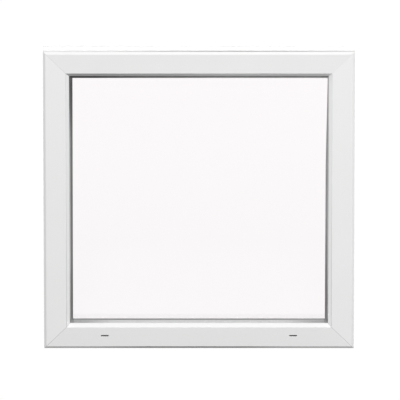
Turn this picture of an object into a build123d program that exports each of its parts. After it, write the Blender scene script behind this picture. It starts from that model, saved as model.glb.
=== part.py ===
from build123d import *
import os

# A fixed light of white PVC: four mitred and welded frame members, glazed from the
# room side with a sealed double-glazing unit. X runs along the window as seen from
# outside, +Y points into the room and Z is up. The origin is on the underside of the
# sill member, at half its length and half its depth.

# Overall size of the window
window_width = 900.0
window_height = 900.0
frame_depth = 70.0

# Frame profile. Across the section, u runs inward from the outer edge of the window
# and v runs outward from the middle of the depth.
face_width = 75.0
nose_run = 10.5
nose_drop = 9.0
nose_tip_radius = 1.2
edge_run = 7.0
edge_drop = 5.0
edge_radius = 1.6
room_edge_radius = 1.5
crease_width = 1.0
crease_depth = 0.5
rebate_depth = 21.0
flange_thickness = 20.5
outer_wall = 2.8
web = 1.4
drain_web_offset = 28.0
room_web_offset = 16.0
drain_floor = 20.0
weld_groove_width = 1.2
weld_groove_depth = 0.4

# Clip grooves along the outer perimeter, one near the outside face and one near the room
front_groove_v = 24.8
room_groove_v = -19.0
front_groove_mouth = 8.4
room_groove_mouth = 3.6
clip_undercut = 1.0
clip_depth = 4.4
clip_lip = 1.6

# Drainage: slots in the sill's outside face and in its rebate floor
drain_slot_length = 22.5
drain_slot_height = 4.2
drain_slot_rise = 39.5
drain_slot_edge_distance = 176.5
rebate_slot_length = 25.0
rebate_slot_width = 4.6
rebate_slot_shift = 60.0

# Steel reinforcement in the main chamber
steel_wall = 1.5
steel_clearance = 0.4
steel_lip = 12.0
steel_end_gap = 6.0

# Sealed unit
pane_thickness = 4.0
pane_gap = 16.0
pane_edge_gap = 5.0
pane_arris = 0.5
spacer_setback = 6.0
spacer_height = 6.5
spacer_wall = 0.8

# Gaskets. The outside gasket sits in a step cut into the end of the flange, rolls over
# it as a soft bulb and reaches the glass with a thin lip.
gasket_thickness = 3.0
gasket_seat_step = 1.5
gasket_seat_drop = 1.8
gasket_bulb = 3.0
gasket_bulb_rise = 4.5
gasket_bulb_radius = 1.6
gasket_valley = 4.6
gasket_valley_height = 2.4
gasket_lip = 10.0
gasket_tip = 0.6
gasket_edge_offset = 8.0
gasket_foot_width = 2.6
gasket_foot_depth = 3.0
gasket_foot_inset = 5.0
groove_clearance = 0.2
room_gasket_lip = 1.2

# Glazing bead
bead_wall = 1.3
bead_room_height = 9.0
bead_setback = 1.5
bead_front_flat = 3.0
bead_foot_width = 2.6
bead_foot_depth = 4.2
bead_foot_hook = 0.9
bead_groove_offset = 7.0
bead_groove_width = 4.4
bead_groove_depth = 5.0
bead_mitre_gap = 0.15

# Setting blocks under and around the sealed unit
block_length = 100.0
block_width = 28.0
block_rib = 1.2
block_channel_depth = 2.0
block_corner_distance = 110.0

# Values that follow from the sizes above
half_depth = frame_depth / 2
nose_start = face_width - nose_run
rebate_height = face_width - rebate_depth
nose_tip_v = half_depth - nose_drop
flange_rear = half_depth - flange_thickness
glass_outside = flange_rear - gasket_thickness
glass_inside = glass_outside - 2 * pane_thickness - pane_gap
bead_front = glass_inside - gasket_thickness
bead_back = -half_depth + bead_setback
glass_edge = rebate_height + pane_edge_gap
spacer_edge = glass_edge + spacer_setback
gasket_low_u = glass_edge + gasket_edge_offset
drain_web_v = half_depth - drain_web_offset
room_web_v = -half_depth + room_web_offset
bead_groove_v = -half_depth + bead_groove_offset
gasket_foot_u = face_width - gasket_foot_inset
gasket_seat_u = face_width - gasket_seat_step
gasket_seat_v = nose_tip_v - gasket_seat_drop


# The four sides of the window

def side_plane(side):
    """Section plane at the start of a side: x is u, y is v and z runs along the side."""
    left = -window_width / 2
    right = window_width / 2
    planes = {
        "sill": Plane((left, 0, 0), x_dir=(0, 0, 1), z_dir=(1, 0, 0)),
        "right_jamb": Plane((right, 0, 0), x_dir=(-1, 0, 0), z_dir=(0, 0, 1)),
        "head": Plane((right, 0, window_height), x_dir=(0, 0, -1), z_dir=(-1, 0, 0)),
        "left_jamb": Plane((left, 0, window_height), x_dir=(1, 0, 0), z_dir=(0, 0, -1)),
    }
    return planes[side]


def side_length(side):
    """Length of a side along the outer edge of the window."""
    if side in ("sill", "head"):
        return window_width
    return window_height


def mitre_ends(side, gap=0.0):
    """Cut both ends of the bar being built at 45 degrees, each set back by a gap."""
    start = side_plane(side)
    along = start.z_dir
    inward = start.x_dir
    end_origin = start.origin + along * (side_length(side) - gap)
    start_cut = Plane(start.origin + along * gap, z_dir=along - inward)
    end_cut = Plane(end_origin, z_dir=-along - inward)
    split(bisect_by=start_cut, keep=Keep.TOP)
    split(bisect_by=end_cut, keep=Keep.TOP)


def finish(part, name):
    """Name one piece and write it out."""
    part.label = name
    export_step(part, f"parts/{name}.step")


# The frame

def box_section(u_low, u_high, v_low, v_high, mode=Mode.ADD):
    """A rectangle of the section between two u and two v values."""
    with Locations(((u_low + u_high) / 2, (v_low + v_high) / 2)):
        Rectangle(u_high - u_low, v_high - v_low, mode=mode)


def clip_groove(v_centre, mouth):
    """One undercut groove for clip-on profiles in the outer perimeter, with its walls."""
    mouth_half = mouth / 2
    cavity_half = mouth_half + clip_undercut
    wall_half = cavity_half + web
    wall_high = min(v_centre + wall_half, half_depth - edge_drop)
    box_section(clip_lip, clip_depth + web, v_centre - wall_half, wall_high)
    box_section(
        clip_lip, clip_depth, v_centre - cavity_half, v_centre + cavity_half, Mode.SUBTRACT
    )
    box_section(0, clip_lip, v_centre - mouth_half, v_centre + mouth_half, Mode.SUBTRACT)


def bead_groove():
    """The groove in the rebate floor that holds the foot of the glazing bead."""
    low = bead_groove_v - bead_groove_width / 2
    high = bead_groove_v + bead_groove_width / 2
    bottom = rebate_height - bead_groove_depth
    box_section(bottom - web, rebate_height, -half_depth + outer_wall, high + web)
    box_section(bottom, rebate_height, low, high, Mode.SUBTRACT)


def gasket_groove():
    """The groove in the back of the flange that holds the foot of the outer gasket."""
    half_width = gasket_foot_width / 2 + groove_clearance
    top = flange_rear + gasket_foot_depth + groove_clearance
    box_section(
        gasket_foot_u - half_width,
        gasket_foot_u + half_width,
        flange_rear,
        top,
        Mode.SUBTRACT,
    )


def frame_section():
    """The multi-chamber section of the frame."""
    with BuildLine() as outline:
        Polyline(
            (0, half_depth - edge_drop),
            (edge_run, half_depth),
            (nose_start, half_depth),
            (face_width, nose_tip_v),
            (face_width, gasket_seat_v),
            (gasket_seat_u, gasket_seat_v),
            (gasket_seat_u, flange_rear),
            (rebate_height, flange_rear),
            (rebate_height, -half_depth),
            (0, -half_depth),
            close=True,
        )
    make_face(outline.edges())
    outer_corner = vertices().group_by(Axis.X)[0].sort_by(Axis.Y)[-1]
    fillet(outer_corner, edge_radius)
    face_corner = vertices().group_by(Axis.Y)[-1].sort_by(Axis.X)[0]
    fillet(face_corner, edge_radius)
    room_corners = vertices().group_by(Axis.Y)[0]
    fillet(room_corners, room_edge_radius)
    nose_tip = vertices().group_by(Axis.X)[-1].sort_by(Axis.Y)[-1]
    fillet(nose_tip, nose_tip_radius)
    inner_wall = rebate_height - outer_wall
    outside_wall = half_depth - outer_wall
    # Pre-chamber that takes the drain water, with a floor below the outside slots
    drain_low = drain_web_v + web
    box_section(drain_floor + web, inner_wall, drain_low, outside_wall, Mode.SUBTRACT)
    box_section(edge_run + web, drain_floor, drain_low, outside_wall, Mode.SUBTRACT)
    # Main chamber for the steel
    box_section(outer_wall, inner_wall, room_web_v + web, drain_web_v, Mode.SUBTRACT)
    # Room-side chambers
    room_middle = rebate_height / 2
    room_low = -half_depth + outer_wall
    box_section(outer_wall, room_middle - web / 2, room_low, room_web_v, Mode.SUBTRACT)
    box_section(room_middle + web / 2, inner_wall, room_low, room_web_v, Mode.SUBTRACT)
    # Flange chamber
    flange_low = flange_rear + outer_wall
    flange_high = nose_start - web
    box_section(inner_wall + web, flange_high, flange_low, outside_wall, Mode.SUBTRACT)
    # Fine crease where the flat face turns into the nose
    crease_low = half_depth - crease_depth
    box_section(
        nose_start - crease_width, nose_start, crease_low, half_depth, Mode.SUBTRACT
    )
    clip_groove(front_groove_v, front_groove_mouth)
    clip_groove(room_groove_v, room_groove_mouth)
    bead_groove()
    gasket_groove()


def weld_groove_plane(side, at_end, v):
    """Plane across a mitre line: x runs into the member and y runs out of the face."""
    start = side_plane(side)
    along = start.z_dir
    inward = start.x_dir
    if at_end:
        origin = start.origin + along * side_length(side)
        into_member = -along - inward
    else:
        origin = start.origin
        into_member = along - inward
    out_of_face = start.y_dir * (1 if v > 0 else -1)
    return Plane(
        origin + start.y_dir * v,
        x_dir=into_member,
        z_dir=into_member.cross(out_of_face),
    )


def frame_member(side):
    """One member of the frame, mitred and grooved along its welds."""
    with BuildPart() as member:
        with BuildSketch(side_plane(side)):
            frame_section()
        extrude(amount=side_length(side))
        mitre_ends(side)
        for at_end in (False, True):
            for v in (half_depth, -half_depth):
                with BuildSketch(weld_groove_plane(side, at_end, v)):
                    with BuildLine() as weld_line:
                        Polyline(
                            (0, 0),
                            (weld_groove_width, 0),
                            (0, -weld_groove_depth),
                            close=True,
                        )
                    make_face(weld_line.edges())
                extrude(amount=nose_start * 2**0.5, both=True, mode=Mode.SUBTRACT)
        if side == "sill":
            drain_offset = window_width / 2 - drain_slot_edge_distance
            outside_face = Plane(
                (0, -half_depth, drain_slot_rise), x_dir=(1, 0, 0), z_dir=(0, -1, 0)
            )
            with BuildSketch(outside_face):
                with Locations((-drain_offset, 0), (drain_offset, 0)):
                    SlotOverall(drain_slot_length, drain_slot_height)
            extrude(amount=-outer_wall - web, mode=Mode.SUBTRACT)
            slot_centre_v = flange_rear - web - rebate_slot_width / 2
            rebate_floor = Plane(
                (0, -slot_centre_v, rebate_height), x_dir=(1, 0, 0), z_dir=(0, 0, 1)
            )
            rebate_offset = drain_offset - rebate_slot_shift
            with BuildSketch(rebate_floor):
                with Locations((-rebate_offset, 0), (rebate_offset, 0)):
                    SlotOverall(rebate_slot_length, rebate_slot_width)
            extrude(amount=-outer_wall - web, mode=Mode.SUBTRACT)
    return member.part


# Steel reinforcement

def steel_section():
    """A channel with returned lips that fills the main chamber."""
    low_u = clip_depth + web + steel_clearance
    high_u = rebate_height - outer_wall - steel_clearance
    low_v = room_web_v + web + steel_clearance
    high_v = drain_web_v - steel_clearance
    box_section(low_u, high_u, low_v, high_v)
    box_section(
        low_u + steel_wall,
        high_u - steel_wall,
        low_v + steel_wall,
        high_v - steel_wall,
        Mode.SUBTRACT,
    )
    lip_low = low_u + steel_lip
    lip_high = high_u - steel_lip
    box_section(lip_low, lip_high, low_v, low_v + steel_wall, Mode.SUBTRACT)


def steel_bar(side):
    """The reinforcement of one member, cut square short of the mitres."""
    start = side_plane(side)
    setback = rebate_height + steel_end_gap
    with BuildPart() as bar:
        with BuildSketch(start.offset(setback)):
            steel_section()
        extrude(amount=side_length(side) - 2 * setback)
        fillet(bar.edges().filter_by(Axis(start.origin, start.z_dir)), steel_wall / 3)
    return bar.part


# Glazing beads

def bead_section():
    """A hollow bead with a sloping room face and a hooked foot."""
    shoulder_u = rebate_height + bead_room_height
    with BuildLine() as outline:
        Polyline(
            (rebate_height, bead_front),
            (face_width, bead_front),
            (face_width, bead_front - bead_front_flat),
            (shoulder_u, bead_back),
            (rebate_height, bead_back),
            close=True,
        )
    make_face(outline.edges())
    fillet(vertices().group_by(Axis.X)[-1].sort_by(Axis.Y)[0], bead_front_flat / 2)
    fillet(vertices().group_by(Axis.Y)[0].sort_by(Axis.X)[-1], bead_front_flat)
    with BuildLine() as hollow:
        Polyline(
            (rebate_height + bead_wall, bead_front - bead_wall),
            (face_width - 2 * bead_wall, bead_front - bead_wall),
            (shoulder_u - bead_wall, bead_back + bead_wall),
            (rebate_height + bead_wall, bead_back + bead_wall),
            close=True,
        )
    make_face(hollow.edges(), mode=Mode.SUBTRACT)
    foot_low = bead_groove_v - bead_foot_width / 2
    foot_high = bead_groove_v + bead_foot_width / 2
    foot_end = rebate_height - bead_foot_depth
    box_section(foot_end, rebate_height, foot_low, foot_high)
    hook_high = foot_high + bead_foot_hook - groove_clearance
    box_section(foot_end, foot_end + bead_wall, foot_high, hook_high)


def mitred_bar(side, section, gap=0.0):
    """A bar of one section along a side, mitred at both ends."""
    with BuildPart() as bar:
        with BuildSketch(side_plane(side)):
            section()
        extrude(amount=side_length(side))
        mitre_ends(side, gap)
    return bar.part


# Gaskets

def outer_gasket_section():
    """The outside gasket: a foot in the flange, a bulb over its end and a lip on the glass."""
    bulb_v = flange_rear + gasket_bulb_rise
    valley_v = glass_outside + gasket_valley_height
    with BuildLine() as outline:
        Polyline(
            (gasket_low_u, glass_outside),
            (face_width + gasket_lip, glass_outside),
            (face_width + gasket_lip, glass_outside + gasket_tip),
            (face_width + gasket_valley, valley_v),
            (face_width + gasket_bulb, bulb_v),
            (face_width, gasket_seat_v),
            (gasket_seat_u, gasket_seat_v),
            (gasket_seat_u, flange_rear),
            (gasket_low_u, flange_rear),
            close=True,
        )
    make_face(outline.edges())
    bulb_corner = vertices().sort_by_distance((face_width + gasket_bulb, bulb_v))[0]
    fillet(bulb_corner, gasket_bulb_radius)
    foot_low = gasket_foot_u - gasket_foot_width / 2
    foot_high = gasket_foot_u + gasket_foot_width / 2
    box_section(foot_low, foot_high, flange_rear, flange_rear + gasket_foot_depth)


def room_gasket_section():
    """The room-side gasket between the inner pane and the bead."""
    with BuildLine() as outline:
        Polyline(
            (gasket_low_u, glass_inside),
            (face_width + room_gasket_lip, glass_inside),
            (face_width + room_gasket_lip, glass_inside - gasket_tip),
            (face_width, bead_front),
            (gasket_low_u, bead_front),
            close=True,
        )
    make_face(outline.edges())


# Sealed unit

def pane(v_outside):
    """One pane of glass with ground arrises, given its outside face."""
    pane_width = window_width - 2 * glass_edge
    pane_height = window_height - 2 * glass_edge
    face = Plane(
        (0, -v_outside, window_height / 2), x_dir=(1, 0, 0), z_dir=(0, 1, 0)
    )
    with BuildPart() as sheet:
        with BuildSketch(face):
            Rectangle(pane_width, pane_height)
        extrude(amount=pane_thickness)
        chamfer(sheet.edges().filter_by(Axis.Y, reverse=True), pane_arris)
    return sheet.part


def spacer_section():
    """The hollow spacer bar between the panes."""
    low_v = glass_inside + pane_thickness
    high_v = glass_outside - pane_thickness
    low_u = spacer_edge
    high_u = spacer_edge + spacer_height
    box_section(low_u, high_u, low_v, high_v)
    box_section(
        low_u + spacer_wall,
        high_u - spacer_wall,
        low_v + spacer_wall,
        high_v - spacer_wall,
        Mode.SUBTRACT,
    )


def edge_sealant():
    """The sealant that fills the edge of the unit outside the spacer."""
    outer_width = window_width - 2 * glass_edge
    outer_height = window_height - 2 * glass_edge
    face = Plane(
        (0, pane_thickness - glass_outside, window_height / 2),
        x_dir=(1, 0, 0),
        z_dir=(0, 1, 0),
    )
    with BuildPart() as ring:
        with BuildSketch(face):
            Rectangle(outer_width, outer_height)
            Rectangle(
                outer_width - 2 * spacer_setback,
                outer_height - 2 * spacer_setback,
                mode=Mode.SUBTRACT,
            )
        extrude(amount=pane_gap)
    return ring.part


# Setting blocks

def setting_block(side, at_end):
    """A ribbed block between the rebate floor and the edge of the sealed unit."""
    start = side_plane(side)
    if at_end:
        offset = side_length(side) - glass_edge - block_corner_distance
    else:
        offset = glass_edge + block_corner_distance
    unit_middle = (glass_outside + glass_inside) / 2
    low_v = unit_middle - block_width / 2
    high_v = unit_middle + block_width / 2
    rib_count = 3
    channel = (block_width - (rib_count + 1) * block_rib) / rib_count
    with BuildPart() as block:
        with BuildSketch(start.offset(offset - block_length / 2)):
            box_section(rebate_height, glass_edge, low_v, high_v)
            for index in range(rib_count):
                channel_low = low_v + block_rib + index * (channel + block_rib)
                box_section(
                    rebate_height,
                    rebate_height + block_channel_depth,
                    channel_low,
                    channel_low + channel,
                    Mode.SUBTRACT,
                )
        extrude(amount=block_length)
    return block.part


# Build every piece

os.makedirs("parts", exist_ok=True)

for side in ("sill", "right_jamb", "head", "left_jamb"):
    finish(frame_member(side), f"frame_{side}")
    finish(steel_bar(side), f"steel_{side}")
    finish(mitred_bar(side, bead_section, bead_mitre_gap), f"bead_{side}")
    finish(mitred_bar(side, outer_gasket_section), f"outer_gasket_{side}")
    finish(mitred_bar(side, room_gasket_section), f"room_gasket_{side}")
    finish(mitred_bar(side, spacer_section), f"spacer_{side}")
    finish(setting_block(side, False), f"setting_block_{side}_1")
    finish(setting_block(side, True), f"setting_block_{side}_2")

finish(pane(glass_outside), "outer_pane")
finish(pane(glass_inside + pane_thickness), "inner_pane")
finish(edge_sealant(), "edge_sealant")
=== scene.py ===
# %% [markdown]
# # A white plastic window with fixed glass
# The window is already built as solids: four hollow frame members mitred at the corners, two panes with
# spacer bars between them, gaskets, beads and blocks. This lesson gives those solids their finish, makes
# the soft seals that the solids only stand in for, and sets up light and a camera like the photograph's.
# We start by loading the solids. They are fixed: nothing below moves or reshapes them.

# %% Load the window
import math

import bpy
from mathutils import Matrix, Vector


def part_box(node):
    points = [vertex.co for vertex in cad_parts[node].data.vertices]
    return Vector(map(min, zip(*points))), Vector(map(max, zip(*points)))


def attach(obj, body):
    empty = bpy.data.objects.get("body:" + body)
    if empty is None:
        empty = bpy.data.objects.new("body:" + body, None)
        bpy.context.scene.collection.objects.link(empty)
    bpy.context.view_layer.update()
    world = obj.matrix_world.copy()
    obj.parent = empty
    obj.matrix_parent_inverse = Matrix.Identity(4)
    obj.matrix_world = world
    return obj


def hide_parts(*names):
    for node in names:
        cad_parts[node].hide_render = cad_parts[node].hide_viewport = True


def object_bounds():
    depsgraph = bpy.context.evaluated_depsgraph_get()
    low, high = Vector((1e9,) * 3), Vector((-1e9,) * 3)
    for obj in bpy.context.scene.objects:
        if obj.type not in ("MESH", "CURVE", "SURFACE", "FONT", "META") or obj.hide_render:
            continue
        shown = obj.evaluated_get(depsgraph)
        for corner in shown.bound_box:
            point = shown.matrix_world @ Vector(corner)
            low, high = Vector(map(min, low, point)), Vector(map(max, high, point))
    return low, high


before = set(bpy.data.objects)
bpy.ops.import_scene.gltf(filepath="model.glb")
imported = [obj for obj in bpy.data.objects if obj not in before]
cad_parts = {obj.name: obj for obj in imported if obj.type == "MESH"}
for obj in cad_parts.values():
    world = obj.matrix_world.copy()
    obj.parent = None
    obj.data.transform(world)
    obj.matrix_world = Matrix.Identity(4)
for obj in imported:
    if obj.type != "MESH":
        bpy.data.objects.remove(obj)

cad_low, cad_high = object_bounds()
print("nodes:", len(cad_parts), "box:", tuple(cad_low), tuple(cad_high))

# %% [markdown]
# ## Sizes that the lesson needs
# All sizes are in metres and come from the solids themselves, so they stay right if the window changes.
# The outside face looks towards -Y, the room is at +Y and Z is up.

# %% Read the sizes from the solids
MM = 0.001
window_width = cad_high.x - cad_low.x
window_height = cad_high.z - cad_low.z
outside_y = cad_low.y
middle_z = (cad_low.z + cad_high.z) / 2
glass_outside_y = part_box("outer_pane")[0].y
glass_inside_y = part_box("inner_pane")[1].y
bead_front_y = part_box("bead_sill")[0].y
face_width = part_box("frame_sill")[1].z - cad_low.z
print("frame face", round(face_width / MM, 1), "mm, glass lies", end=" ")
print(round((glass_outside_y - outside_y) / MM, 1), "mm behind the outside face, beads", end=" ")
print(round((bead_front_y - outside_y) / MM, 1), "mm")

# %% [markdown]
# ## The camera
# The photograph was taken with a very long lens from a little above the window. Upright edges stay almost
# parallel, and the slope at the foot of the glass looks wider than the one at its head. Both say how high
# the camera stands and how far away it is. A long lens far off gives the same flat look here.

# %% Place the camera
camera_elevation = math.radians(17.5)
camera_distance = 30.0
view_width = 1.1577
sensor_width = 36.0
aim = Vector((0.0030, outside_y, middle_z + 0.0031))

camera_data = bpy.data.cameras.new("camera")
camera = bpy.data.objects.new("camera", camera_data)
bpy.context.collection.objects.link(camera)
backwards = Vector((0, -math.cos(camera_elevation), math.sin(camera_elevation)))
camera.location = aim + backwards * camera_distance
camera.rotation_mode = "QUATERNION"
camera.rotation_quaternion = (-backwards).to_track_quat("-Z", "Y")
camera_data.sensor_width = sensor_width
camera_data.lens = sensor_width * camera_distance / view_width
camera_data.clip_start = 0.5
camera_data.clip_end = 100.0
bpy.context.scene.camera = camera
print("lens", round(camera_data.lens), "mm")

# %% [markdown]
# ## Materials are small networks
# Every surface gets a network of nodes. To keep each one short, a helper makes an empty material with its
# main shader, and another adds a node and joins its inputs in one call. Where a pattern is needed on more
# than one finish, it goes into a group, which is a network with named inputs and outputs of its own.


# %% Helpers: materials and nodes
def new_material(name):
    """A material with only its main shader, and that shader."""
    material = bpy.data.materials.new(name)
    material.use_nodes = True
    material.node_tree.nodes.clear()
    output = material.node_tree.nodes.new("ShaderNodeOutputMaterial")
    shader = material.node_tree.nodes.new("ShaderNodeBsdfPrincipled")
    material.node_tree.links.new(shader.outputs[0], output.inputs["Surface"])
    return material, shader


def add_node(tree, kind, settings=None, inputs=None):
    """Add a node, set its properties, and set or join its inputs."""
    node = tree.nodes.new(kind)
    for name, value in (settings or {}).items():
        setattr(node, name, value)
    for name, value in (inputs or {}).items():
        if isinstance(value, bpy.types.NodeSocket):
            tree.links.new(value, node.inputs[name])
        else:
            node.inputs[name].default_value = value
    return node


# %% Helpers: groups
def new_group(name, inputs, outputs):
    """A shader group with its named inputs and outputs, and its two end nodes."""
    group = bpy.data.node_groups.new(name, "ShaderNodeTree")
    for socket_name, kind, value in inputs:
        socket = group.interface.new_socket(name=socket_name, in_out="INPUT", socket_type=kind)
        socket.default_value = value
    for socket_name, kind in outputs:
        group.interface.new_socket(name=socket_name, in_out="OUTPUT", socket_type=kind)
    return group, group.nodes.new("NodeGroupInput"), group.nodes.new("NodeGroupOutput")


def use_group(tree, group, inputs=None):
    """Place a group in a material."""
    return add_node(tree, "ShaderNodeGroup", {"node_tree": group}, inputs)


# %% Helpers: numbers and colours
def arithmetic(tree, operation, first, second=None):
    """One Math node, and its output."""
    inputs = {0: first}
    if second is not None:
        inputs[1] = second
    return add_node(tree, "ShaderNodeMath", {"operation": operation}, inputs).outputs[0]


def even_step(tree, value, low, high, at_low=0.0, at_high=1.0, kind="LINEAR"):
    """Go evenly from one number to another while the value goes from low to high."""
    inputs = {
        "Value": value,
        "From Min": low,
        "From Max": high,
        "To Min": at_low,
        "To Max": at_high,
    }
    return add_node(tree, "ShaderNodeMapRange", {"interpolation_type": kind}, inputs).outputs[0]


def soft_step(tree, value, low, high, at_low=0.0, at_high=1.0):
    """Do the same with a slow start and a slow end."""
    return even_step(tree, value, low, high, at_low, at_high, "SMOOTHSTEP")


def grey(value):
    """A neutral colour."""
    return (value, value, value, 1.0)


def blend_colours(tree, factor, first, second):
    """Mix two colours by a factor, and give the result."""
    node = add_node(tree, "ShaderNodeMix", {"data_type": "RGBA"})
    pairs = ((node.inputs["Factor"], factor), (node.inputs[6], first), (node.inputs[7], second))
    for socket, value in pairs:
        if isinstance(value, bpy.types.NodeSocket):
            tree.links.new(value, socket)
        else:
            socket.default_value = value
    return node.outputs[2]


# %% Helpers: patterns
def object_place(tree):
    """The place of a point, measured on the window itself."""
    return add_node(tree, "ShaderNodeTexCoord").outputs["Object"]


def add_noise(tree, place, scale, detail, roughness=0.5):
    """Cloudy noise, as a number for each place."""
    inputs = {"Vector": place, "Scale": scale, "Detail": detail, "Roughness": roughness}
    return add_node(tree, "ShaderNodeTexNoise", {}, inputs).outputs["Fac"]


def add_bump(tree, shader, strength, distance, height):
    """Let a height pattern catch the light on a surface."""
    inputs = {"Strength": strength, "Distance": distance, "Height": height}
    bump = add_node(tree, "ShaderNodeBump", {}, inputs)
    tree.links.new(bump.outputs[0], shader.inputs["Normal"])


# %% [markdown]
# ## Effects that several finishes share
# Extruded plastic, rolled metal and rubber all carry very fine lines along their length, left by the die.
# They are noise that is stretched along one axis. Real surfaces are also never one even tone, so a second
# group gives slow, soft variation, and a third finds surfaces that face up, where dust settles.


# %% Group: lines left by the die
def make_die_lines():
    """Fine lines, long in the direction where the stretch is small."""
    sockets = (
        ("Stretch", "NodeSocketVector", (1.0, 1.0, 1.0)),
        ("Scale", "NodeSocketFloat", 300.0),
    )
    group, start, end = new_group("Die lines", sockets, (("Lines", "NodeSocketFloat"),))
    inputs = {0: object_place(group), 1: start.outputs["Stretch"]}
    stretched = add_node(group, "ShaderNodeVectorMath", {"operation": "MULTIPLY"}, inputs)
    lines = add_noise(group, stretched.outputs[0], start.outputs["Scale"], 3.0, 0.6)
    group.links.new(lines, end.inputs["Lines"])
    return group


die_lines = make_die_lines()
print("made", die_lines.name)


# %% Group: slow uneven tone
def make_uneven_tone():
    """Soft patches, from zero to one."""
    sockets = (("Scale", "NodeSocketFloat", 6.0),)
    group, start, end = new_group("Uneven tone", sockets, (("Tone", "NodeSocketFloat"),))
    noise = add_noise(group, object_place(group), start.outputs["Scale"], 4.0, 0.55)
    group.links.new(even_step(group, noise, 0.3, 0.7), end.inputs["Tone"])
    return group


uneven_tone = make_uneven_tone()
print("made", uneven_tone.name)


# %% Group: dust on what faces up
def make_settled_dust():
    """How much dust lies on a point: none on what is upright, and patches on what is level."""
    sockets = (("Amount", "NodeSocketFloat", 0.3), ("Scale", "NodeSocketFloat", 40.0))
    group, start, end = new_group("Settled dust", sockets, (("Dust", "NodeSocketFloat"),))
    normal = add_node(group, "ShaderNodeNewGeometry").outputs["Normal"]
    upwards = add_node(group, "ShaderNodeSeparateXYZ", {}, {0: normal}).outputs["Z"]
    noise = add_noise(group, object_place(group), start.outputs["Scale"], 6.0)
    patches = even_step(group, noise, 0.35, 0.75)
    dust = arithmetic(group, "MULTIPLY", even_step(group, upwards, 0.3, 0.95), patches)
    amount = arithmetic(group, "MULTIPLY", dust, start.outputs["Amount"])
    group.links.new(amount, end.inputs["Dust"])
    return group


settled_dust = make_settled_dust()
print("made", settled_dust.name)

# %% [markdown]
# ## Where a point lies in the profile
# All four members share one section, so it helps to know two things about each point: how far it lies in
# from the outer edge of the window, and how far it is from the nearest mitre. At a mitre the distance to
# the side edge equals the distance to the top or bottom edge. The weld there is cut away to a fine
# groove, matt and a little dirty, and the clip grooves round the outer edge are painted dark as shade.


# %% Group: place in the profile
def make_profile_place():
    """Distances from the outer edge and from the nearest mitre, and the place itself."""
    sockets = (
        ("Half Width", "NodeSocketFloat", window_width / 2),
        ("Half Height", "NodeSocketFloat", window_height / 2),
        ("Middle Height", "NodeSocketFloat", middle_z),
    )
    outputs = [(name, "NodeSocketFloat") for name in ("Inset", "From Mitre", "X", "Y", "Z")]
    group, start, end = new_group("Profile place", sockets, outputs)
    parts = add_node(group, "ShaderNodeSeparateXYZ", {}, {0: object_place(group)})
    from_centre = arithmetic(group, "ABSOLUTE", parts.outputs["X"])
    from_side = arithmetic(group, "SUBTRACT", start.outputs["Half Width"], from_centre)
    height = arithmetic(group, "SUBTRACT", parts.outputs["Z"], start.outputs["Middle Height"])
    from_middle = arithmetic(group, "ABSOLUTE", height)
    from_end = arithmetic(group, "SUBTRACT", start.outputs["Half Height"], from_middle)
    inset = arithmetic(group, "MINIMUM", from_side, from_end)
    apart = arithmetic(group, "SUBTRACT", from_side, from_end)
    group.links.new(inset, end.inputs["Inset"])
    group.links.new(arithmetic(group, "ABSOLUTE", apart), end.inputs["From Mitre"])
    for axis in "XYZ":
        group.links.new(parts.outputs[axis], end.inputs[axis])
    return group


profile_place = make_profile_place()
print("made", profile_place.name)

# %% [markdown]
# ## White window plastic
# The frame is hard PVC, white with a hint of grey, with a satin skin. Sill and head were drawn along X and
# the jambs along Z, so the die lines need two directions and the plastic two materials. The jambs' copy is
# painted a little lighter than that of sill and head, as painted light. The welds in the mitres are dirty.
# The rest is painted light and shade: shade inside the clip groove, along the outer bevel, under the
# sill's face and on the head's slope, a faint shade line where the slope towards the glass starts on the
# jambs, and a lighter slope by the glass. Each is a soft step on the distance from an edge. Painting them
# by hand would do as well, but steps follow the profile exactly and need no picture.

# %% Painted shade in the clip groove
groove_front_y = outside_y + 4.8 * MM
groove_back_y = outside_y + 15.6 * MM
groove_skin = 1.3 * MM
groove_floor = 6.2 * MM
darkest_groove_x = 0.119


def groove_painted_shade(tree, place):
    """How much painted shade darkens the inside of the front clip groove, most of it near the middle of a
    side.
    """
    inset = place.outputs["Inset"]
    below_skin = soft_step(tree, inset, groove_skin - 0.4 * MM, groove_skin)
    above_floor = soft_step(tree, inset, groove_floor, groove_floor + 0.6 * MM, 1.0, 0.0)
    behind_front = arithmetic(tree, "GREATER_THAN", place.outputs["Y"], groove_front_y)
    before_back = arithmetic(tree, "LESS_THAN", place.outputs["Y"], groove_back_y)
    away = arithmetic(tree, "SUBTRACT", place.outputs["X"], darkest_groove_x)
    distance = arithmetic(tree, "ABSOLUTE", away)
    along = even_step(tree, distance, 0.07, 0.45, 1.0, 0.06)
    # The inside of the groove is painted near black, as painted shade.
    shade_amount = arithmetic(tree, "MULTIPLY", below_skin, above_floor)
    for factor in (behind_front, before_back, along):
        shade_amount = arithmetic(tree, "MULTIPLY", shade_amount, factor)
    return shade_amount


print("painted groove shade from", round(groove_front_y / MM, 1), "to", round(groove_back_y / MM, 1), "mm")

# %% Dirt in the mitres and painted shade on the bevel
nose_width = 10.5 * MM
nose_start = face_width - nose_width


def mitre_dirt(tree, place):
    """How strongly the weld shows: most at the foot of the window, least at the top right."""
    at_head = soft_step(tree, place.outputs["X"], -0.1, 0.1, 0.45, 0.10)
    depth = soft_step(tree, place.outputs["Z"], middle_z - 0.1, middle_z + 0.1, 0.9, at_head)
    return soft_step(tree, place.outputs["From Mitre"], 0.4 * MM, 1.3 * MM, depth, 0.0)


def outer_bevel_painted_shade(tree, place, strength):
    """Painted shade on the bevel round the outer edge."""
    past_side = soft_step(tree, place.outputs["Inset"], 0.3 * MM, 1.0 * MM)
    before_face = soft_step(tree, place.outputs["Inset"], 5.5 * MM, 7.5 * MM, strength, 0.0)
    return arithmetic(tree, "MULTIPLY", past_side, before_face)


print("the slope towards the glass starts", round(nose_start / MM, 1), "mm in")
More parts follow.
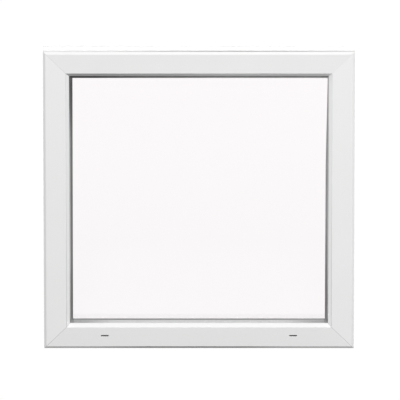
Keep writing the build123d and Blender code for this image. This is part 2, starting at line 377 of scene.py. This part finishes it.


# %% Painted shade on the jambs
def upright_painted_shade(tree, place):
    """Painted shade on the bevel, and a faint painted shade line where the slope towards the glass starts.
    """
    inset = place.outputs["Inset"]
    # A faint line of painted shade where the slope towards the glass starts, stronger low on the jambs.
    begins = soft_step(tree, inset, nose_start - 0.6 * MM, nose_start + 0.4 * MM)
    strength = soft_step(tree, place.outputs["Z"], middle_z - 0.25, middle_z + 0.1, 0.28, 0.06)
    ends = soft_step(tree, inset, nose_start + 1.6 * MM, nose_start + 2.8 * MM, strength, 0.0)
    line = arithmetic(tree, "MULTIPLY", begins, ends)
    # The bevel's painted shade is stronger on the left jamb than on the right.
    left_heavy_bevel_shade = soft_step(tree, place.outputs["X"], -0.1, 0.1, 0.14, 0.07)
    return arithmetic(tree, "ADD", line, outer_bevel_painted_shade(tree, place, left_heavy_bevel_shade))


# %% Painted shade on sill and head
lower_bevel_top = cad_low.z + 7.5 * MM


def sill_bevel_painted_shade(tree, place):
    """Painted shade on the bevel under the sill's face, darkest near the middle."""
    height = place.outputs["Z"]
    # Painted shade on the downward bevel at the foot of the window.
    strength = soft_step(tree, height, cad_low.z + 1.5 * MM, cad_low.z + 3.5 * MM, 0.10, 0.85)
    low_edge = soft_step(tree, height, lower_bevel_top - MM, lower_bevel_top, strength, 0.0)
    off_middle = arithmetic(tree, "ADD", place.outputs["X"], 0.03)
    distance = arithmetic(tree, "ABSOLUTE", off_middle)
    in_middle = soft_step(tree, distance, 0.12, 0.33, 1.0, 0.0)
    return arithmetic(tree, "MULTIPLY", low_edge, in_middle)


def level_painted_shade(tree, place):
    """Painted shade on the bevel at the foot, and at the head on the bevel and the slope, darkest on the
    left.
    """
    strength = soft_step(tree, place.outputs["X"], -0.34, 0.16, 0.50, 0.04)
    inset = place.outputs["Inset"]
    # Painted shade on the head's slope, darkest on the left.
    head_slope_shade = soft_step(tree, inset, nose_start - 0.3 * MM, nose_start + 0.8 * MM, 0.0, strength)
    upper = arithmetic(tree, "GREATER_THAN", place.outputs["Z"], middle_z)
    either = arithmetic(tree, "ADD", head_slope_shade, outer_bevel_painted_shade(tree, place, 0.05))
    at_head = arithmetic(tree, "MULTIPLY", either, upper)
    return arithmetic(tree, "ADD", sill_bevel_painted_shade(tree, place), at_head)


# %% White plastic
def make_white_plastic(name, stretch, pale, dull, slope_painted_light, edge_painted_shade):
    """Satin PVC: its own tone, a slope by the glass painted lighter, welds, painted shade, dust and die
    lines.
    """
    material, shader = new_material(name)
    tree = material.node_tree
    place = use_group(tree, profile_place)
    tone = use_group(tree, uneven_tone, {"Scale": 5.0})
    dust = use_group(tree, settled_dust, {"Amount": 0.06, "Scale": 35.0})
    colour = blend_colours(tree, tone.outputs["Tone"], pale, dull)
    inset = place.outputs["Inset"]
    # The slope towards the glass is painted lighter, as painted light.
    slope_lightening = soft_step(tree, inset, nose_start, nose_start + 1.5 * MM, 0.0, slope_painted_light)
    colour = blend_colours(tree, slope_lightening, colour, grey(0.93))
    weld = mitre_dirt(tree, place)
    colour = blend_colours(tree, weld, colour, grey(0.50))
    # Painted shade from the edge masks.
    colour = blend_colours(tree, edge_painted_shade(tree, place), colour, grey(0.25))
    # Painted shade, near black, inside the front clip groove.
    colour = blend_colours(tree, groove_painted_shade(tree, place), colour, grey(0.05))
    colour = blend_colours(tree, dust.outputs["Dust"], colour, (0.66, 0.64, 0.60, 1.0))
    tree.links.new(colour, shader.inputs["Base Color"])
    lines = use_group(tree, die_lines, {"Stretch": stretch, "Scale": 420.0}).outputs["Lines"]
    satin = even_step(tree, lines, 0.0, 1.0, 0.30, 0.44)
    rough_weld = arithmetic(tree, "MULTIPLY", weld, 0.35)
    tree.links.new(arithmetic(tree, "ADD", satin, rough_weld), shader.inputs["Roughness"])
    add_bump(tree, shader, 0.35, 0.05 * MM, lines)
    shader.inputs["IOR"].default_value = 1.53
    shader.inputs["Specular IOR Level"].default_value = 0.38
    return material


# %% The two plastics
along_x = (0.004, 1.0, 1.0)
along_z = (1.0, 1.0, 0.004)
# The jambs' copy is painted a little lighter than that of sill and head, and its slope lighter still.
level_plastic = make_white_plastic(
    "white_plastic_level",
    along_x,
    (0.820, 0.818, 0.818, 1.0),
    (0.803, 0.801, 0.801, 1.0),
    0.22,
    level_painted_shade,
)
upright_plastic = make_white_plastic(
    "white_plastic_upright",
    along_z,
    (0.850, 0.848, 0.848, 1.0),
    (0.834, 0.832, 0.832, 1.0),
    0.50,
    upright_painted_shade,
)
print("made", level_plastic.name, upright_plastic.name)

# %% [markdown]
# ## Gasket rubber
# The outside seal is grey rubber. Its bulb, which rolls over the end of the flange, is light. Its thin lip
# lies on the glass and is painted darker, as painted shade where it meets the glass. Each run of the ring
# has its own painted light and shade. Along the sill the bulb is painted lighter in the middle and is
# darker towards the ends. The lip is painted lighter on the sill, the head and the upper right run, most
# along the head towards the right, and painted darker on the left run. The side runs have painted shade at
# their feet, and the top left corner has the strongest painted shade. One material does it, with masks for
# the runs and corners.

# %% Masks for the runs of the seal
lip_end = face_width + 10.0 * MM
jamb_lip_x = window_width / 2 - lip_end


def above_middle(tree, place):
    """How far a point lies above the middle of the window."""
    return arithmetic(tree, "SUBTRACT", place.outputs["Z"], middle_z)


def from_left_edge(tree, place):
    """How far a point lies to the right of the window's left edge."""
    return arithmetic(tree, "ADD", place.outputs["X"], window_width / 2)


def on_sill_run(tree, place):
    """One on the run along the sill."""
    lip_z = -window_height / 2 + lip_end
    return soft_step(tree, above_middle(tree, place), lip_z + 11.0 * MM, lip_z - 1.0 * MM)


def on_head_run(tree, place):
    """One on the run along the head."""
    lip_z = window_height / 2 - lip_end
    return soft_step(tree, above_middle(tree, place), lip_z - 11.0 * MM, lip_z + 1.0 * MM)


print("the lip ends", round(lip_end / MM, 1), "mm in")


# %% Mask: bulb or lip
def on_lip(tree, place, sill_run):
    """Zero on the bulb and one on the lip. The change is later and sharper along the sill."""
    starts_elsewhere = glass_outside_y - 4.2 * MM
    starts_on_sill = glass_outside_y - 2.8 * MM
    full_elsewhere = glass_outside_y - 2.0 * MM
    full_on_sill = glass_outside_y - 1.7 * MM
    starts = soft_step(tree, sill_run, 0.0, 1.0, starts_elsewhere, starts_on_sill)
    is_full = soft_step(tree, sill_run, 0.0, 1.0, full_elsewhere, full_on_sill)
    return soft_step(tree, place.outputs["Y"], starts, is_full)


# %% Colour of the bulb
def sill_bulb_painted_light(tree, place, sill_run, bulb):
    """Along the sill: painted lighter in the middle, darker towards the ends."""
    off_middle = arithmetic(tree, "ABSOLUTE", place.outputs["X"])
    in_middle = soft_step(tree, off_middle, 0.23, 0.37, 1.0, 0.0)
    sill_middle_painted_light = arithmetic(tree, "MULTIPLY", sill_run, in_middle)
    sill_ends_darker = arithmetic(tree, "SUBTRACT", sill_run, sill_middle_painted_light)
    # Painted light on the middle of the sill run; the ends of the run are made darker.
    bulb = blend_colours(tree, sill_middle_painted_light, bulb, grey(0.60))
    return blend_colours(tree, arithmetic(tree, "MULTIPLY", sill_ends_darker, 0.50), bulb, grey(0.20))


# %% Colour of the lip
def lip_painted_light_and_shade(tree, place, sill_run, head_run, lip, bulb):
    """Painted shade on the left run, painted light on the others, most along the head towards the right.
    """
    across = place.outputs["X"]
    from_left = from_left_edge(tree, place)
    left_lip_shade = soft_step(tree, from_left, lip_end + 0.5 * MM, lip_end + 1.5 * MM, 0.40, 0.0)
    # Painted shade on the lip of the left run.
    lip = blend_colours(tree, left_lip_shade, lip, grey(0.06))
    lip_lightening = arithmetic(tree, "MULTIPLY", sill_run, 0.15)
    lip_lightening = arithmetic(tree, "ADD", lip_lightening, arithmetic(tree, "MULTIPLY", head_run, 0.50))
    # Painted light on the lip of the sill and head, more towards the right along the head, and on the
    # upper right run.
    lip = blend_colours(tree, lip_lightening, lip, bulb)
    to_the_right = soft_step(tree, across, -0.20, 0.12, 0.0, 0.60)
    head_lip_lightening = arithmetic(tree, "MULTIPLY", head_run, to_the_right)
    lip = blend_colours(tree, head_lip_lightening, lip, grey(0.78))
    right_run = soft_step(tree, across, jamb_lip_x - 15.0 * MM, jamb_lip_x - 5.0 * MM)
    upper = soft_step(tree, above_middle(tree, place), -0.20, 0.0, 0.0, 0.30)
    return blend_colours(tree, arithmetic(tree, "MULTIPLY", right_run, upper), lip, bulb)


# %% Painted shade on the whole seal
def feet_and_corner_painted_shade(tree, place, colour):
    """Painted shade at the feet of the side runs, and in the top left corner."""
    off_middle = arithmetic(tree, "ABSOLUTE", place.outputs["X"])
    on_side = soft_step(tree, off_middle, jamb_lip_x - 3.0 * MM, jamb_lip_x)
    low = soft_step(tree, above_middle(tree, place), -0.12, -0.34, 0.0, 0.45)
    # Painted shade at the feet of the side runs and, strongest, in the top left corner.
    colour = blend_colours(tree, arithmetic(tree, "MULTIPLY", on_side, low), colour, grey(0.10))
    from_top_edge = arithmetic(tree, "SUBTRACT", cad_high.z, place.outputs["Z"])
    from_corner = arithmetic(tree, "MAXIMUM", from_left_edge(tree, place), from_top_edge)
    corner_painted_shade = soft_step(tree, from_corner, 0.10, 0.32, 0.85, 0.0)
    return blend_colours(tree, corner_painted_shade, colour, grey(0.06))


# %% Gasket rubber
def make_gasket(name):
    """Matt grey rubber with a light bulb, a lip painted darker as shade on the glass, and painted light
    and shade along its runs.
    """
    material, shader = new_material(name)
    tree = material.node_tree
    place = use_group(tree, profile_place)
    tone = use_group(tree, uneven_tone, {"Scale": 28.0}).outputs["Tone"]
    patches = use_group(tree, uneven_tone, {"Scale": 3.5}).outputs["Tone"]
    dust = use_group(tree, settled_dust, {"Amount": 0.05, "Scale": 90.0})
    bulb = blend_colours(tree, tone, (0.46, 0.46, 0.463, 1.0), (0.54, 0.54, 0.543, 1.0))
    # The lip is painted darker than the bulb, as painted shade where it lies on the glass.
    lip = blend_colours(tree, patches, (0.17, 0.17, 0.172, 1.0), (0.27, 0.27, 0.272, 1.0))
    sill_run = on_sill_run(tree, place)
    lip = lip_painted_light_and_shade(tree, place, sill_run, on_head_run(tree, place), lip, bulb)
    bulb = sill_bulb_painted_light(tree, place, sill_run, bulb)
    colour = blend_colours(tree, on_lip(tree, place, sill_run), bulb, lip)
    colour = feet_and_corner_painted_shade(tree, place, colour)
    colour = blend_colours(tree, dust.outputs["Dust"], colour, (0.55, 0.54, 0.52, 1.0))
    tree.links.new(colour, shader.inputs["Base Color"])
    grain = add_noise(tree, object_place(tree), 900.0, 3.0)
    matt = even_step(tree, grain, 0.0, 1.0, 0.55, 0.78)
    tree.links.new(matt, shader.inputs["Roughness"])
    add_bump(tree, shader, 0.3, 0.08 * MM, grain)
    shader.inputs["Specular IOR Level"].default_value = 0.3
    return material


gasket_rubber = make_gasket("gasket_rubber")
print("made", gasket_rubber.name)

# %% [markdown]
# ## Clear glass
# Each pane is a real sheet 4 mm thick, so light bends in and out of it as in the real window. Lamps would
# not shine through such a sheet in this renderer, and the room side would go dark. So for the light that
# falls on matt surfaces, by shadow rays and diffuse rays, the sheet is plainly transparent.


# %% Helper: choose between two shaders
def choose_shader(tree, surface_socket, factor, plain, chosen):
    """Show one shader where the factor is zero and the other where it is one."""
    mix = add_node(tree, "ShaderNodeMixShader", {}, {0: factor})
    tree.links.new(plain, mix.inputs[1])
    tree.links.new(chosen, mix.inputs[2])
    tree.links.new(mix.outputs[0], surface_socket)


# %% Clear glass
def make_glass(name):
    """Clear float glass with the faintest smears."""
    material, shader = new_material(name)
    tree = material.node_tree
    shader.inputs["Base Color"].default_value = (0.9725, 0.958, 0.963, 1.0)
    shader.inputs["Transmission Weight"].default_value = 1.0
    shader.inputs["Metallic"].default_value = 0.0
    shader.inputs["IOR"].default_value = 1.46
    smears = use_group(tree, uneven_tone, {"Scale": 9.0}).outputs["Tone"]
    smeared = even_step(tree, smears, 0.0, 1.0, 0.0, 0.012)
    tree.links.new(smeared, shader.inputs["Roughness"])
    clear = add_node(tree, "ShaderNodeBsdfTransparent", {}, {"Color": (0.93, 0.94, 0.935, 1.0)})
    path = add_node(tree, "ShaderNodeLightPath").outputs
    straight = arithmetic(tree, "MAXIMUM", path["Is Shadow Ray"], path["Is Diffuse Ray"])
    output = next(node for node in tree.nodes if node.type == "OUTPUT_MATERIAL")
    surface = output.inputs["Surface"]
    choose_shader(tree, surface, straight, shader.outputs[0], clear.outputs[0])
    return material


clear_glass = make_glass("clear_glass")
print("made", clear_glass.name)

# %% [markdown]
# ## Spacer metal, steel, blocks and sealant
# These show only at a slant through the glass or not at all, but they are real pieces and get their own
# finishes. The spacer bar is thin rolled aluminium with rows of pinholes for the drying agent. The cells
# of a Voronoi texture make both the pinholes and the crystal flowers of galvanised steel.


# %% Spacer metal
def make_spacer_metal(name):
    """Rolled aluminium with pinholes."""
    material, shader = new_material(name)
    tree = material.node_tree
    shader.inputs["Metallic"].default_value = 1.0
    inputs = {"Vector": object_place(tree), "Scale": 260.0, "Randomness": 0.15}
    holes = add_node(tree, "ShaderNodeTexVoronoi", {"feature": "F1"}, inputs)
    metal = even_step(tree, holes.outputs["Distance"], 0.12, 0.2)
    colour = blend_colours(tree, metal, grey(0.16), (0.76, 0.77, 0.78, 1.0))
    tree.links.new(colour, shader.inputs["Base Color"])
    lines = use_group(tree, die_lines, {"Stretch": (1.0, 1.0, 1.0), "Scale": 700.0})
    rolled = even_step(tree, lines.outputs["Lines"], 0.0, 1.0, 0.28, 0.48)
    tree.links.new(rolled, shader.inputs["Roughness"])
    add_bump(tree, shader, 0.5, 0.15 * MM, metal)
    return material


spacer_metal = make_spacer_metal("spacer_metal")
print("made", spacer_metal.name)


# %% Galvanised steel
def make_galvanised(name):
    """Zinc-coated sheet with its crystal flowers."""
    material, shader = new_material(name)
    tree = material.node_tree
    shader.inputs["Metallic"].default_value = 1.0
    inputs = {"Vector": object_place(tree), "Scale": 110.0}
    flowers = add_node(tree, "ShaderNodeTexVoronoi", {"feature": "F1"}, inputs)
    parts = add_node(tree, "ShaderNodeSeparateColor", {}, {0: flowers.outputs["Color"]}).outputs
    colour = blend_colours(tree, parts[0], (0.50, 0.52, 0.54, 1.0), (0.66, 0.68, 0.70, 1.0))
    tree.links.new(colour, shader.inputs["Base Color"])
    dull = even_step(tree, parts[1], 0.0, 1.0, 0.35, 0.55)
    tree.links.new(dull, shader.inputs["Roughness"])
    return material


galvanised_steel = make_galvanised("galvanised_steel")
print("made", galvanised_steel.name)


# %% Block plastic and black sealant
def make_moulded(name, low, high, smoothest, roughest, scale):
    """A matt moulded or poured material between two colours."""
    material, shader = new_material(name)
    tree = material.node_tree
    tone = use_group(tree, uneven_tone, {"Scale": scale}).outputs["Tone"]
    tree.links.new(blend_colours(tree, tone, low, high), shader.inputs["Base Color"])
    matt = even_step(tree, tone, 0.0, 1.0, smoothest, roughest)
    tree.links.new(matt, shader.inputs["Roughness"])
    add_bump(tree, shader, 0.3, 0.1 * MM, tone)
    return material


block_plastic = make_moulded(
    "block_plastic", (0.03, 0.10, 0.30, 1.0), (0.04, 0.13, 0.36, 1.0), 0.45, 0.6, 120.0
)
black_sealant = make_moulded(
    "black_sealant", (0.008, 0.008, 0.009, 1.0), (0.016, 0.016, 0.017, 1.0), 0.5, 0.75, 80.0
)
print("made", block_plastic.name, black_sealant.name)

# %% [markdown]
# ## Giving the solids their finishes
# A solid keeps its shape and only changes what is in its material slots. The start of each name says what
# the piece is, and its end says which side it is on.


# %% Assign the finishes
def dress(node_name, material):
    """Put one material in every slot of a solid."""
    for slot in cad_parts[node_name].material_slots:
        slot.material = material


for node_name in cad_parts:
    upright = node_name.endswith("jamb")
    if node_name.startswith(("frame_", "bead_")):
        dress(node_name, upright_plastic if upright else level_plastic)
    elif "gasket" in node_name:
        dress(node_name, gasket_rubber)
    elif node_name.endswith("pane"):
        dress(node_name, clear_glass)
    elif node_name.startswith("spacer_"):
        dress(node_name, spacer_metal)
    elif node_name.startswith("steel_"):
        dress(node_name, galvanised_steel)
    elif node_name.startswith("setting_block_"):
        dress(node_name, block_plastic)
    else:
        dress(node_name, black_sealant)
print("dressed", len(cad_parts), "solids")

# %% [markdown]
# ## The outside seal
# The solids stand in for the seal with flat facets. The real one is soft: a round bulb over the end of
# the flange, a narrow furrow, and a lip that thins out on the glass. It runs round the whole window, so
# we model it as one ring. A plane is stood upright and cut down to its outline, and that outline is
# extruded again and again, each time made smaller and moved in depth, to draw the section of the seal.
# Joining the last outline to the first closes the ring. A curve with a bevel profile is another way to
# make it. This way was chosen because every corner is only moved, so the mitres come out true.


# %% Helper: select one outline
def select_outline(mesh, corners):
    """Select the corners of one outline of a ring and the edges between them."""
    bpy.ops.object.mode_set(mode="OBJECT")
    for vertex in mesh.vertices:
        vertex.select = vertex.index in corners
    for edge in mesh.edges:
        edge.select = all(index in corners for index in edge.vertices)
    bpy.ops.object.mode_set(mode="EDIT")


# %% Helper: the first outline
def upright_outline(name, inset, depth):
    """A rectangle of four edges that stands upright, a distance inside the window's outer edge."""
    bpy.ops.object.select_all(action="DESELECT")
    bpy.ops.mesh.primitive_plane_add(size=1.0, location=(0, 0, 0))
    ring = bpy.context.active_object
    ring.name = name
    bpy.ops.object.mode_set(mode="EDIT")
    bpy.ops.mesh.select_mode(type="VERT")
    bpy.ops.mesh.select_all(action="SELECT")
    bpy.ops.transform.rotate(
        value=math.radians(90), orient_axis="X", center_override=(0, 0, 0)
    )
    bpy.ops.transform.resize(
        value=(window_width - 2 * inset, 1.0, window_height - 2 * inset),
        center_override=(0, 0, 0),
    )
    bpy.ops.transform.translate(value=(0, depth, middle_z))
    bpy.ops.mesh.delete(type="ONLY_FACE")
    return ring


# %% Helper: close a ring
def close_ring(ring, first, last):
    """Join the last outline of a ring to the first, and turn its faces outwards."""
    select_outline(ring.data, last)
    bpy.ops.object.mode_set(mode="OBJECT")
    for edge in ring.data.edges:
        ends = set(edge.vertices)
        edge.select = ends <= last or ends <= first
    bpy.ops.object.mode_set(mode="EDIT")
    bpy.ops.mesh.select_mode(type="EDGE")
    bpy.ops.mesh.bridge_edge_loops()
    bpy.ops.mesh.select_all(action="SELECT")
    bpy.ops.mesh.normals_make_consistent(inside=False)
    bpy.ops.object.mode_set(mode="OBJECT")


# %% Helper: a ring with a drawn section
def ring_piece(name, section):
    """A ring round the window: each point of the section is an inset and a depth."""
    inset, depth = section[0]
    ring = upright_outline(name, inset, depth)
    first = {0, 1, 2, 3}
    last = first
    for next_inset, next_depth in section[1:]:
        select_outline(ring.data, last)
        bpy.ops.mesh.extrude_edges_move()
        width_change = (window_width - 2 * next_inset) / (window_width - 2 * inset)
        height_change = (window_height - 2 * next_inset) / (window_height - 2 * inset)
        bpy.ops.transform.resize(
            value=(width_change, 1.0, height_change), center_override=(0, 0, middle_z)
        )
        bpy.ops.transform.translate(value=(0, next_depth - depth, 0))
        bpy.ops.object.mode_set(mode="OBJECT")
        last = {vertex.index for vertex in ring.data.vertices if vertex.select}
        inset, depth = next_inset, next_depth
    close_ring(ring, first, last)
    print(name, len(ring.data.vertices), "points", len(ring.data.polygons), "faces")
    return ring


# %% Helper: soften and smooth a ring
def soften(ring, width, smooth_angle):
    """Round the sharp edges of a ring and smooth its shading."""
    bevel = ring.modifiers.new("soft_edges", "BEVEL")
    bevel.width = width
    bevel.segments = 3
    bevel.limit_method = "ANGLE"
    bevel.angle_limit = math.radians(12)
    bpy.ops.object.select_all(action="DESELECT")
    ring.select_set(True)
    bpy.context.view_layer.objects.active = ring
    bpy.ops.object.modifier_apply(modifier=bevel.name)
    bpy.ops.object.shade_smooth_by_angle(angle=math.radians(smooth_angle))


# %% [markdown]
# The section is written as distances in millimetres: how far in from the outer edge of the window, and
# how far in front of the glass. It starts in the corner of the seat in the flange, rolls over the bulb,
# dips into the furrow, runs out along the lip and comes back along the glass.

# %% Draw the outside seal
flange_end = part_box("frame_sill")[1].z - cad_low.z
seat = flange_end - 1.45 * MM
furrow = flange_end + 1.9 * MM
outside_section = (
    (seat, 12.65),
    (flange_end + 0.05 * MM, 12.65),
    (flange_end + 0.9 * MM, 12.2),
    (flange_end + 1.8 * MM, 11.0),
    (flange_end + 2.5 * MM, 9.5),
    (flange_end + 2.9 * MM, 7.9),
    (flange_end + 2.9 * MM, 6.4),
    (flange_end + 2.5 * MM, 5.2),
    (furrow, 4.3),
    (flange_end + 2.3 * MM, 3.5),
    (flange_end + 3.2 * MM, 3.1),
    (flange_end + 4.6 * MM, 2.4),
    (flange_end + 6.6 * MM, 1.75),
    (flange_end + 8.4 * MM, 1.3),
    (flange_end + 9.6 * MM, 0.95),
    (flange_end + 10.0 * MM, 0.5),
    (flange_end + 9.8 * MM, 0.03),
    (flange_end - 7.9 * MM, 0.03),
    (flange_end - 7.9 * MM, 2.95),
    (seat, 2.95),
)
outer_seal = ring_piece(
    "outer_seal_ring",
    [(inset, glass_outside_y - front * MM) for inset, front in outside_section],
)

# %% [markdown]
# A lip on a real window is never quite even. Here it is very narrow in the top right corner, widens
# quickly down to a little above the middle of the right side and slowly below that, and is a little
# short in the lower corners. It could be cut away there, but then it would lose its thin edge. So its
# points are drawn back towards the furrow at each of those heights. A straight run has points only at
# its ends, so the right side is first cut across where the widening slows down, with the bisect tool.


# %% Helper: deselect a mesh
def deselect_all(mesh):
    """Deselect every point, edge and face of a mesh in object mode."""
    for item in (*mesh.vertices, *mesh.edges, *mesh.polygons):
        item.select = False


# %% Helper: cut an upright run across
def cut_across(ring, side, height):
    """Add points across the run on one side of a ring at a height, so that it can bend there."""
    deselect_all(ring.data)
    for face in ring.data.polygons:
        face.select = side * face.center.x > window_width / 4
    bpy.context.view_layer.objects.active = ring
    bpy.ops.object.mode_set(mode="EDIT")
    bpy.ops.mesh.select_mode(type="FACE")
    bpy.ops.mesh.bisect(plane_co=(0, 0, height), plane_no=(0, 0, 1))
    bpy.ops.object.mode_set(mode="OBJECT")
    print("now", len(ring.data.vertices), "points")


# %% Helper: draw in a lip at one height
def draw_in_lip(ring, side, height, share):
    """Shorten the lip near one height towards the furrow, across the window only.

    The side is 1 for the right and -1 for the left, and the share is what stays of the lip.
    """
    lip_front = glass_outside_y - 4.0 * MM
    furrow_x = side * (window_width / 2 - furrow)
    deselect_all(ring.data)
    for vertex in ring.data.vertices:
        place = vertex.co
        at_height = side * place.x > 0 and abs(place.z - height) < face_width / 2
        in_lip = side * (furrow_x - place.x) > 0.1 * MM and place.y > lip_front
        vertex.select = at_height and in_lip
    chosen = sum(vertex.select for vertex in ring.data.vertices)
    bpy.context.view_layer.objects.active = ring
    bpy.ops.object.mode_set(mode="EDIT")
    bpy.ops.mesh.select_mode(type="VERT")
    bpy.ops.transform.resize(value=(share, 1.0, 1.0), center_override=(furrow_x, 0, middle_z))
    bpy.ops.object.mode_set(mode="OBJECT")
    print("drew in", chosen, "points to", share)


# %% Shape and finish the outside seal
upper_corner = cad_high.z - flange_end
lower_corner = cad_low.z + flange_end
widening_slows = middle_z + 0.10
right = 1
left = -1

cut_across(outer_seal, right, widening_slows)
draw_in_lip(outer_seal, right, upper_corner, 0.18)
draw_in_lip(outer_seal, right, widening_slows, 0.80)
draw_in_lip(outer_seal, right, lower_corner, 0.90)
draw_in_lip(outer_seal, left, lower_corner, 0.88)
soften(outer_seal, 0.12 * MM, 35)
outer_seal.data.materials.append(gasket_rubber)
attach(outer_seal, "root")
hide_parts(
    "outer_gasket_sill",
    "outer_gasket_head",
    "outer_gasket_left_jamb",
    "outer_gasket_right_jamb",
)
print("outside seal:", len(outer_seal.data.polygons), "faces")

# %% [markdown]
# ## The room-side seal
# Between the inner pane and the glazing bead lies a flat gasket with a small rounded lip. It is modelled
# in the same way, with its section measured back from the room face of the inner pane.

# %% Model the room-side seal
bead_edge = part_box("bead_sill")[1].z - cad_low.z
room_section = (
    (bead_edge - 7.9 * MM, 0.03),
    (bead_edge + 1.0 * MM, 0.03),
    (bead_edge + 1.2 * MM, 0.3),
    (bead_edge + 1.1 * MM, 0.9),
    (bead_edge + 0.6 * MM, 1.7),
    (bead_edge + 0.3 * MM, 2.4),
    (bead_edge - 0.1 * MM, 2.95),
    (bead_edge - 7.9 * MM, 2.95),
)
room_seal = ring_piece(
    "room_seal_ring",
    [(inset, glass_inside_y + back * MM) for inset, back in room_section],
)
soften(room_seal, 0.12 * MM, 35)
room_seal.data.materials.append(gasket_rubber)
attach(room_seal, "root")
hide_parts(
    "room_gasket_sill",
    "room_gasket_head",
    "room_gasket_left_jamb",
    "room_gasket_right_jamb",
)

# %% [markdown]
# ## Floor and light
# The photograph has a plain white ground and soft light from above. The floor and the sky are white only
# where the camera, a reflection or the glass looks at them. For the light that they throw on the window
# they are much darker, so the undersides of the frame still fall into shade as in the photograph.


# %% Helper: what looks at a surface
def seen_directly(tree):
    """One for rays from the camera, a reflection or through glass, and otherwise zero.

    A ray that has already been scattered by a matt surface gives zero as well, also when it
    has passed through the glass since.
    """
    path = add_node(tree, "ShaderNodeLightPath").outputs
    either = arithmetic(tree, "MAXIMUM", path["Is Camera Ray"], path["Is Glossy Ray"])
    seen = arithmetic(tree, "MAXIMUM", either, path["Is Transmission Ray"])
    unscattered = arithmetic(tree, "LESS_THAN", path["Diffuse Depth"], 0.5)
    return arithmetic(tree, "MULTIPLY", seen, unscattered)


# %% The floor
floor_half_size = 6.0
bpy.ops.object.select_all(action="DESELECT")
bpy.ops.mesh.primitive_plane_add(size=2 * floor_half_size, location=(0, 0, cad_low.z))
floor = bpy.context.active_object
floor.name = "floor"
print("floor", 2 * floor_half_size, "m square")

# %% Its finish: dark for the light it throws, white to look at, with the window's shadow
thrown_grey = 0.08
shadow_grey = 0.07
white_lift = 0.945

floor_material = bpy.data.materials.new("pale_floor")
floor_material.use_nodes = True
floor_tree = floor_material.node_tree
floor_tree.nodes.clear()
floor_output = floor_tree.nodes.new("ShaderNodeOutputMaterial")
dark_floor = add_node(floor_tree, "ShaderNodeBsdfDiffuse", {}, {"Color": grey(thrown_grey)})
shaded_floor = add_node(floor_tree, "ShaderNodeBsdfDiffuse", {}, {"Color": grey(shadow_grey)})
lift = {"Color": grey(1.0), "Strength": white_lift}
lit_floor = add_node(floor_tree, "ShaderNodeEmission", {}, lift)
white_floor = add_node(floor_tree, "ShaderNodeAddShader")
floor_tree.links.new(shaded_floor.outputs[0], white_floor.inputs[0])
floor_tree.links.new(lit_floor.outputs[0], white_floor.inputs[1])
choose_shader(
    floor_tree,
    floor_output.inputs["Surface"],
    seen_directly(floor_tree),
    dark_floor.outputs[0],
    white_floor.outputs[0],
)
floor.data.materials.append(floor_material)
print("made", floor_material.name)

# %% The sky
sky_strength = 0.05
world = bpy.data.worlds.new("white_studio")
bpy.context.scene.world = world
world.use_nodes = True
sky_tree = world.node_tree
sky_tree.nodes.clear()
sky_output = sky_tree.nodes.new("ShaderNodeOutputWorld")
dim = {"Color": grey(1.0), "Strength": sky_strength}
dim_sky = add_node(sky_tree, "ShaderNodeBackground", {}, dim)
white = {"Color": grey(1.0), "Strength": 1.0}
white_sky = add_node(sky_tree, "ShaderNodeBackground", {}, white)
choose_shader(
    sky_tree,
    sky_output.inputs["Surface"],
    seen_directly(sky_tree),
    dim_sky.outputs[0],
    white_sky.outputs[0],
)
print("sky strength", sky_strength)

# %% [markdown]
# The main lamp is broad and far off, in front of the window and above it. Two lamps stand beside and a
# little behind the window, to light its side edges. One hangs above and behind it for what faces up, and
# one lights the room side. Each lamp is placed by its direction and distance from the middle of the
# window, and its power is worked out from the share of full light that it should give there.

# %% The lamps
window_middle = Vector((0, 0, middle_z))


def add_softbox(name, azimuth, elevation, distance, width, share):
    """A square area lamp that faces the window and gives a share of full light at it."""
    turn = math.radians(azimuth)
    rise = math.radians(elevation)
    direction = Vector(
        (math.sin(turn) * math.cos(rise), -math.cos(turn) * math.cos(rise), math.sin(rise))
    )
    light = bpy.data.lights.new(name, "AREA")
    light.shape = "SQUARE"
    light.size = width
    light.energy = share * (math.pi * distance) ** 2
    lamp = bpy.data.objects.new(name, light)
    bpy.context.collection.objects.link(lamp)
    lamp.location = window_middle + direction * distance
    lamp.rotation_mode = "QUATERNION"
    lamp.rotation_quaternion = (-direction).to_track_quat("-Z", "Y")
    print(name, "at", [round(value, 2) for value in lamp.location], round(light.energy), "W")


add_softbox("key_lamp", 0, 36, 13.5, 4.2, 1.00)
add_softbox("fill_lamp", 38, 4, 4.5, 1.8, 0.13)
add_softbox("left_lamp", -110, 5, 4.0, 1.6, 0.40)
add_softbox("right_lamp", 100, 5, 1.8, 0.8, 0.24)
add_softbox("top_lamp", 180, 36, 6.0, 2.4, 0.31)
add_softbox("room_lamp", 145, 12, 5.0, 2.4, 0.50)

# %% [markdown]
# The Standard view transform shows a colour about as it is written.

# %% View settings
bpy.context.scene.view_settings.view_transform = "Standard"
print("view transform", bpy.context.scene.view_settings.view_transform)
